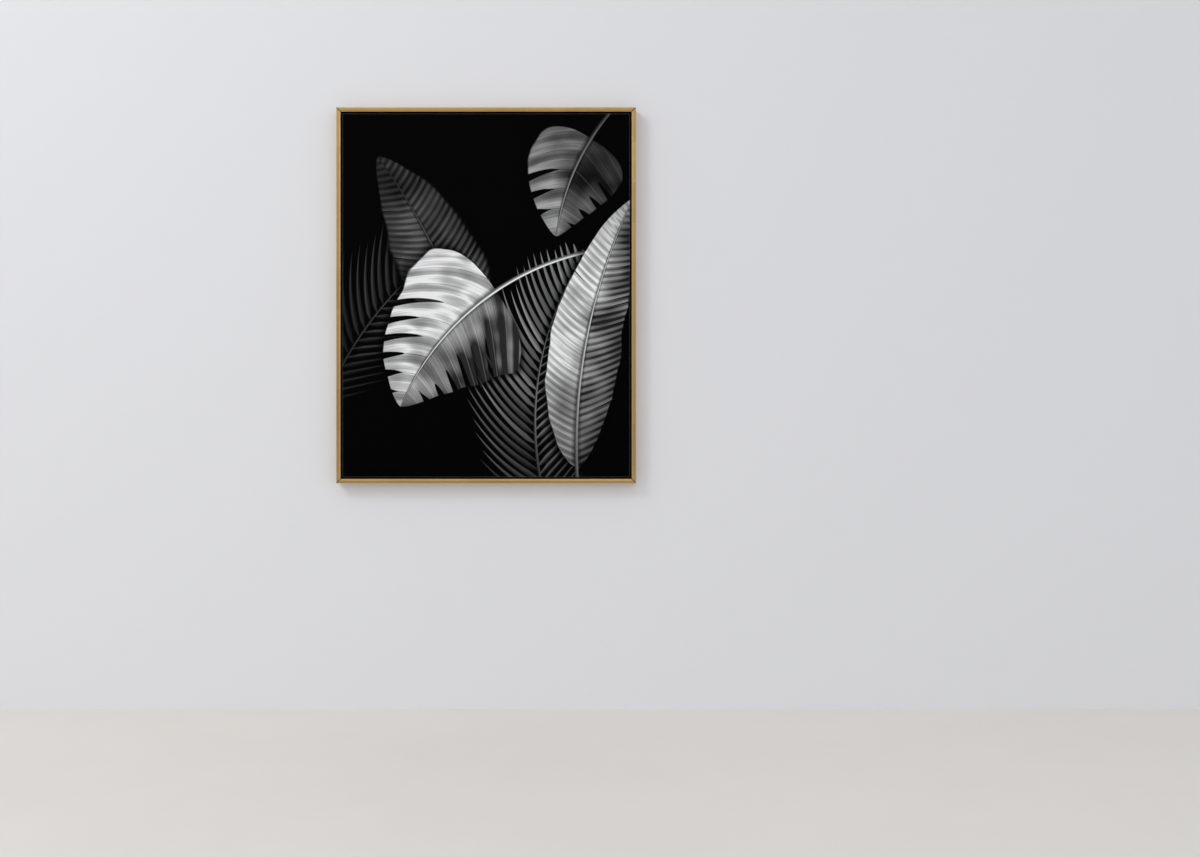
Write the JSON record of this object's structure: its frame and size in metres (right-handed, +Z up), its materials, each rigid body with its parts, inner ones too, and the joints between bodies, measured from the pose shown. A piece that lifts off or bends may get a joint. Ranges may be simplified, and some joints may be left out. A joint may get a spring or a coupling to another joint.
{
  "type": "framed canvas wall picture",
  "caption": "Large upright canvas print stretched on braced wooden bars, set back in a slim gold floater frame that hangs on a metal wall rail.",
  "frame": {"origin": "middle of the hanging rail's rear face, where it lies flat on the wall, near the top of the picture", "axes": "+X to the viewer's right along the picture's width, +Y from the room into the wall, +Z up along its height; the print faces -Y"},
  "size_m": [1.26, 0.051, 1.58],
  "materials": {
    "gilt_wood": "satin gold leaf finish over wood, black in the channel beside the canvas",
    "printed_canvas": "matt coated print on woven canvas, black on the wrapped sides",
    "planed_pine": "bare planed pine",
    "zinc_plated_steel": "bright zinc plate",
    "extruded_aluminium": "mill finish",
    "grey_rubber": "matt"
  },
  "bodies": {
    "root": {"frame_top": "gilt_wood", "frame_right": "gilt_wood", "frame_bottom": "gilt_wood", "frame_left": "gilt_wood", "canvas": "printed_canvas", "stretcher_top": "planed_pine", "stretcher_right": "planed_pine", "stretcher_bottom": "planed_pine", "stretcher_left": "planed_pine", "brace_upright": "planed_pine", "brace_level": "planed_pine", "key_top_left_level": "planed_pine", "key_top_left_upright": "planed_pine", "key_top_right_level": "planed_pine", "key_top_right_upright": "planed_pine", "key_bottom_left_level": "planed_pine", "key_bottom_left_upright": "planed_pine", "key_bottom_right_level": "planed_pine", "key_bottom_right_upright": "planed_pine", "frame_screw_top_1": "zinc_plated_steel", "frame_screw_top_2": "zinc_plated_steel", "frame_screw_right_1": "zinc_plated_steel", "frame_screw_right_2": "zinc_plated_steel", "frame_screw_right_3": "zinc_plated_steel", "frame_screw_bottom_1": "zinc_plated_steel", "frame_screw_bottom_2": "zinc_plated_steel", "frame_screw_left_1": "zinc_plated_steel", "frame_screw_left_2": "zinc_plated_steel", "frame_screw_left_3": "zinc_plated_steel", "hanging_rail": "extruded_aluminium", "rail_screw_1": "zinc_plated_steel", "rail_screw_2": "zinc_plated_steel", "rail_screw_3": "zinc_plated_steel", "rail_screw_4": "zinc_plated_steel", "rail_screw_5": "zinc_plated_steel", "bumper_left": "grey_rubber", "bumper_right": "grey_rubber"}
  },
  "joints": []
}
